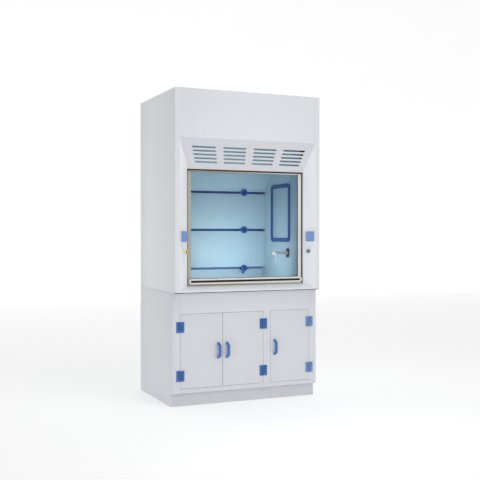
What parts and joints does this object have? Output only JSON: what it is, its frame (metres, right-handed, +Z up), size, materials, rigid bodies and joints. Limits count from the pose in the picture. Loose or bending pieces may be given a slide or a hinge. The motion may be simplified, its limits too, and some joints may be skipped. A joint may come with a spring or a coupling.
{
  "type": "fume hood",
  "caption": "Bench fume hood of welded plastic sheet with a counterbalanced vertical sash, slotted vent panel, baffled chamber and a base cabinet with hinged doors.",
  "frame": {"origin": "on the floor, midway across the width and midway between the hood's front and rear faces", "axes": "+Z up, +X to the right of a user facing the sash, +Y from the user towards the rear panel"},
  "size_m": [1.2, 0.8664, 2.425],
  "materials": {
    "shell_white": "welded polypropylene sheet, satin",
    "cabinet_white": "polypropylene sheet, satin",
    "bench_white": "polypropylene, matt",
    "chamber_blue": "pale blue polypropylene, glossy",
    "strip_blue": "blue polypropylene",
    "hinge_blue": "blue moulded polypropylene",
    "tap_black": "black plastic",
    "coated_grey": "epoxy-coated brass",
    "duct_grey": "grey plastic duct",
    "steel": "stainless steel",
    "cast_iron": "painted cast iron",
    "pulley_nylon": "white nylon",
    "lamp_white": "white enamel",
    "lamp_diffuser": "opal diffuser",
    "socket_grey": "moulded plastic",
    "lid_blue": "translucent blue plastic",
    "brass": "machined brass",
    "knob_white": "white moulded plastic",
    "sash_alloy": "champagne anodised",
    "sash_glass": "toughened glass",
    "handle_cream": "cream plastic"
  },
  "bodies": {
    "root": {"hood_sides": "shell_white", "rear_panels": "shell_white", "roof_panel": "shell_white", "fascia_panel": "shell_white", "vent_panel": "shell_white", "posts": "shell_white", "sill": "shell_white", "worktop": "bench_white", "cup_sink": "bench_white", "liners": "chamber_blue", "ceiling_panels": "chamber_blue", "baffle_top": "chamber_blue", "baffle_panels": "chamber_blue", "slot_strips": "strip_blue", "service_frames": "strip_blue", "service_covers": "chamber_blue", "tap_flange": "tap_black", "tap_spout": "coated_grey", "gas_outlet": "coated_grey", "sash_guides": "tap_black", "pulley_brackets": "steel", "lamp_housing": "lamp_white", "lamp_lens": "lamp_diffuser", "socket_bases": "socket_grey", "valves": "brass", "service_pipes": "brass", "exhaust_duct": "duct_grey", "exhaust_spigot": "duct_grey", "cable_wraps": "steel", "sash_cables": "steel", "weight_cables": "steel", "cabinet_sides": "cabinet_white", "cabinet_boards": "cabinet_white", "front_frame": "cabinet_white", "plinth": "cabinet_white", "hinge_leaves": "hinge_blue", "hinge_pins": "steel", "door_catches": "cabinet_white"},
    "sash": {"sash_frame": "sash_alloy", "sash_glass": "sash_glass", "sash_handle": "handle_cream"},
    "counterweights": {"counterweights": "cast_iron"},
    "pulley_left": {"pulley_left": "pulley_nylon"},
    "pulley_right": {"pulley_right": "pulley_nylon"},
    "door_left": {"door_left": "cabinet_white", "handle_left": "hinge_blue", "door_leaves_left": "hinge_blue"},
    "door_middle": {"door_middle": "cabinet_white", "handle_middle": "hinge_blue", "door_leaves_middle": "hinge_blue"},
    "door_right": {"door_right": "cabinet_white", "handle_right": "hinge_blue", "door_leaves_right": "hinge_blue"},
    "knob_gas": {"knob_gas": "knob_white"},
    "knob_water": {"knob_water": "knob_white"},
    "socket_lid_left": {"socket_lid_left": "lid_blue"},
    "socket_lid_right": {"socket_lid_right": "lid_blue"},
    "baffle_lever_top": {"baffle_lever_top": "strip_blue"},
    "baffle_lever_middle": {"baffle_lever_middle": "strip_blue"},
    "baffle_lever_bottom": {"baffle_lever_bottom": "strip_blue"}
  },
  "joints": [
    {"name": "sash_slide", "type": "slide", "parent": "root", "child": "sash", "axis": [0, 0, 1], "range_m": [0, 0.5], "deforming": ["sash_cables"]},
    {"name": "counterweight_slide", "type": "slide", "parent": "root", "child": "counterweights", "axis": [0, 0, 1], "range_m": [-0.5, 0], "deforming": ["weight_cables"]},
    {"name": "pulley_left_spin", "type": "hinge", "parent": "root", "child": "pulley_left", "pos_m": [-0.5225, -0.34, 2.28], "axis": [0, -1, 0], "range_deg": [0, 718]},
    {"name": "pulley_right_spin", "type": "hinge", "parent": "root", "child": "pulley_right", "pos_m": [0.5225, -0.34, 2.28], "axis": [0, 1, 0], "range_deg": [0, 718]},
    {"name": "door_left_hinge", "type": "hinge", "parent": "root", "child": "door_left", "pos_m": [-0.53925, -0.37, 0.4105], "axis": [0, 0, -1], "range_deg": [0, 110]},
    {"name": "door_middle_hinge", "type": "hinge", "parent": "root", "child": "door_middle", "pos_m": [0.13925, -0.37, 0.4105], "axis": [0, 0, 1], "range_deg": [0, 110]},
    {"name": "door_right_hinge", "type": "hinge", "parent": "root", "child": "door_right", "pos_m": [0.53925, -0.37, 0.4105], "axis": [0, 0, 1], "range_deg": [0, 110]},
    {"name": "gas_knob_turn", "type": "hinge", "parent": "root", "child": "knob_gas", "pos_m": [-0.5124, -0.4043, 1.146], "axis": [0.6, -0.8, 0], "range_deg": [0, 90]},
    {"name": "water_knob_turn", "type": "hinge", "parent": "root", "child": "knob_water", "pos_m": [0.5124, -0.4043, 1.146], "axis": [-0.6, -0.8, 0], "range_deg": [0, 180]},
    {"name": "socket_lid_right_hinge", "type": "hinge", "parent": "root", "child": "socket_lid_right", "pos_m": [0.5229, -0.4128, 1.296], "axis": [-0.8, 0.6, 0], "range_deg": [0, 110]},
    {"name": "socket_lid_left_hinge", "type": "hinge", "parent": "root", "child": "socket_lid_left", "pos_m": [-0.5229, -0.4128, 1.296], "axis": [-0.8, -0.6, 0], "range_deg": [0, 110]},
    {"name": "baffle_lever_top_turn", "type": "hinge", "parent": "root", "child": "baffle_lever_top", "pos_m": [0.29, 0.334, 1.632], "axis": [0, -1, 0], "range_deg": [0, 90]},
    {"name": "baffle_lever_middle_turn", "type": "hinge", "parent": "root", "child": "baffle_lever_middle", "pos_m": [0.29, 0.334, 1.315], "axis": [0, -1, 0], "range_deg": [0, 90]},
    {"name": "baffle_lever_bottom_turn", "type": "hinge", "parent": "root", "child": "baffle_lever_bottom", "pos_m": [0.29, 0.334, 0.991], "axis": [0, 1, 0], "range_deg": [0, 75]}
  ],
  "couplings": [
    {"joint": "counterweight_slide", "follows": "sash_slide", "ratio": -1},
    {"joint": "pulley_left_spin", "follows": "sash_slide", "rad_per_m": 25},
    {"joint": "pulley_right_spin", "follows": "sash_slide", "rad_per_m": 25}
  ]
}
